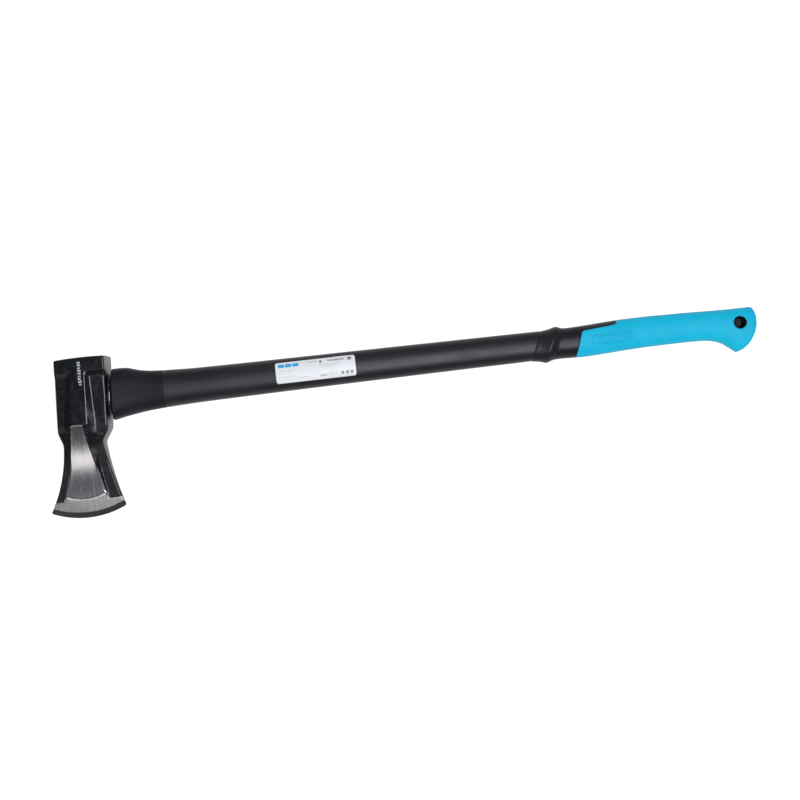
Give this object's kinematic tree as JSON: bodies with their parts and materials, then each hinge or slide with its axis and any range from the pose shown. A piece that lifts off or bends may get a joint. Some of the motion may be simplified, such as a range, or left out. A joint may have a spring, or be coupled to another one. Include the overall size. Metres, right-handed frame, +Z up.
{
  "type": "splitting maul",
  "caption": "Long-handled splitting maul: a wedge-shaped black steel head with ground cheeks on a black oval handle with a light-blue soft grip.",
  "frame": {"origin": "on the cheek that the maul lies on, straight below the centre of the head's eye, where the handle's axis crosses the head", "axes": "+X along the handle towards the butt, +Y towards the poll (the blade points to -Y), +Z up, square to the cheeks"},
  "size_m": [0.9198, 0.2042, 0.0521],
  "materials": {
    "head_steel": "gloss black paint on forged steel; the blade cheeks are ground bare",
    "resin": "dark potting resin",
    "seal_rubber": "soft, matt",
    "glass_fibre": "pultruded glass fibre",
    "black_plastic": "moulded, satin",
    "guard_rubber": "moulded, fine texture",
    "jacket_plastic": "moulded, satin with fine grain",
    "soft_blue": "soft-touch light blue",
    "bush_plastic": "black",
    "label_film": "white printed film",
    "mark_ink": "printed, white"
  },
  "bodies": {
    "root": {"maul_head": "head_steel", "eye_resin": "resin", "resin_dam": "seal_rubber", "core_rod": "glass_fibre", "core_tail_cap": "black_plastic", "eye_collar": "black_plastic", "strike_guard": "guard_rubber", "shaft_jacket": "jacket_plastic", "grip_body": "black_plastic", "soft_grip": "soft_blue", "hang_bush": "bush_plastic", "shaft_label": "label_film", "cheek_mark": "mark_ink"}
  },
  "joints": []
}
